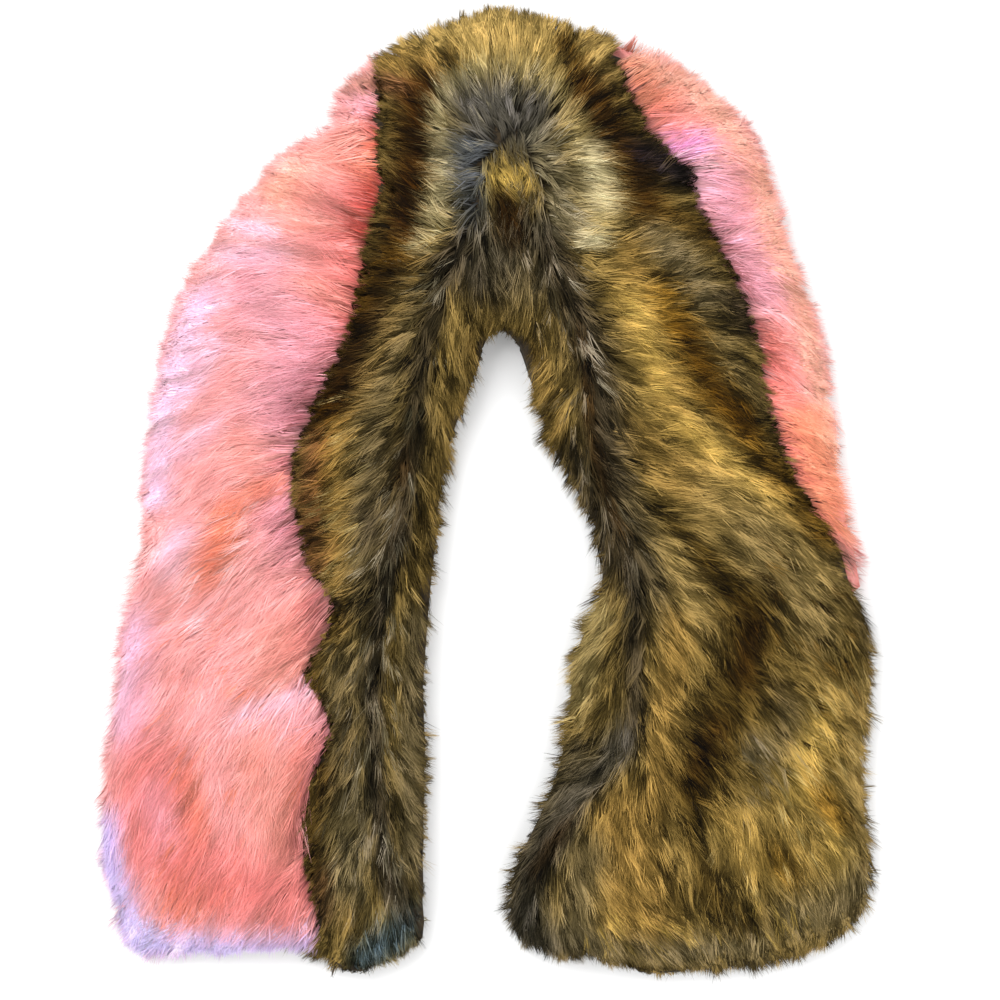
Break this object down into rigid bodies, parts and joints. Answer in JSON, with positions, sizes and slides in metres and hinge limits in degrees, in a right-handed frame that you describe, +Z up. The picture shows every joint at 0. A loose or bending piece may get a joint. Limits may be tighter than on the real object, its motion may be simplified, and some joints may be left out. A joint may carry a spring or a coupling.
{
  "type": "fur collar wrap",
  "caption": "Collar wrap of deep-pile fur, brown on one side and pink on the other, sewn as a flat tube and laid flat in an upturned U.",
  "frame": {"origin": "centre of the wrap's plan, on the surface that it lies on", "axes": "+Z up from the surface, +Y towards the bend that goes round the neck, hems towards -Y, pink leg at -X"},
  "size_m": [0.609, 0.7548, 0.063],
  "materials": {
    "brown_fur": "long soft pile, striped from golden tan to near black, with pale tips",
    "pink_fur": "long soft pile, coral pink with a silky sheen"
  },
  "bodies": {
    "root": {"brown_fur_strip": "brown_fur", "pink_fur_strip": "pink_fur"}
  },
  "joints": []
}
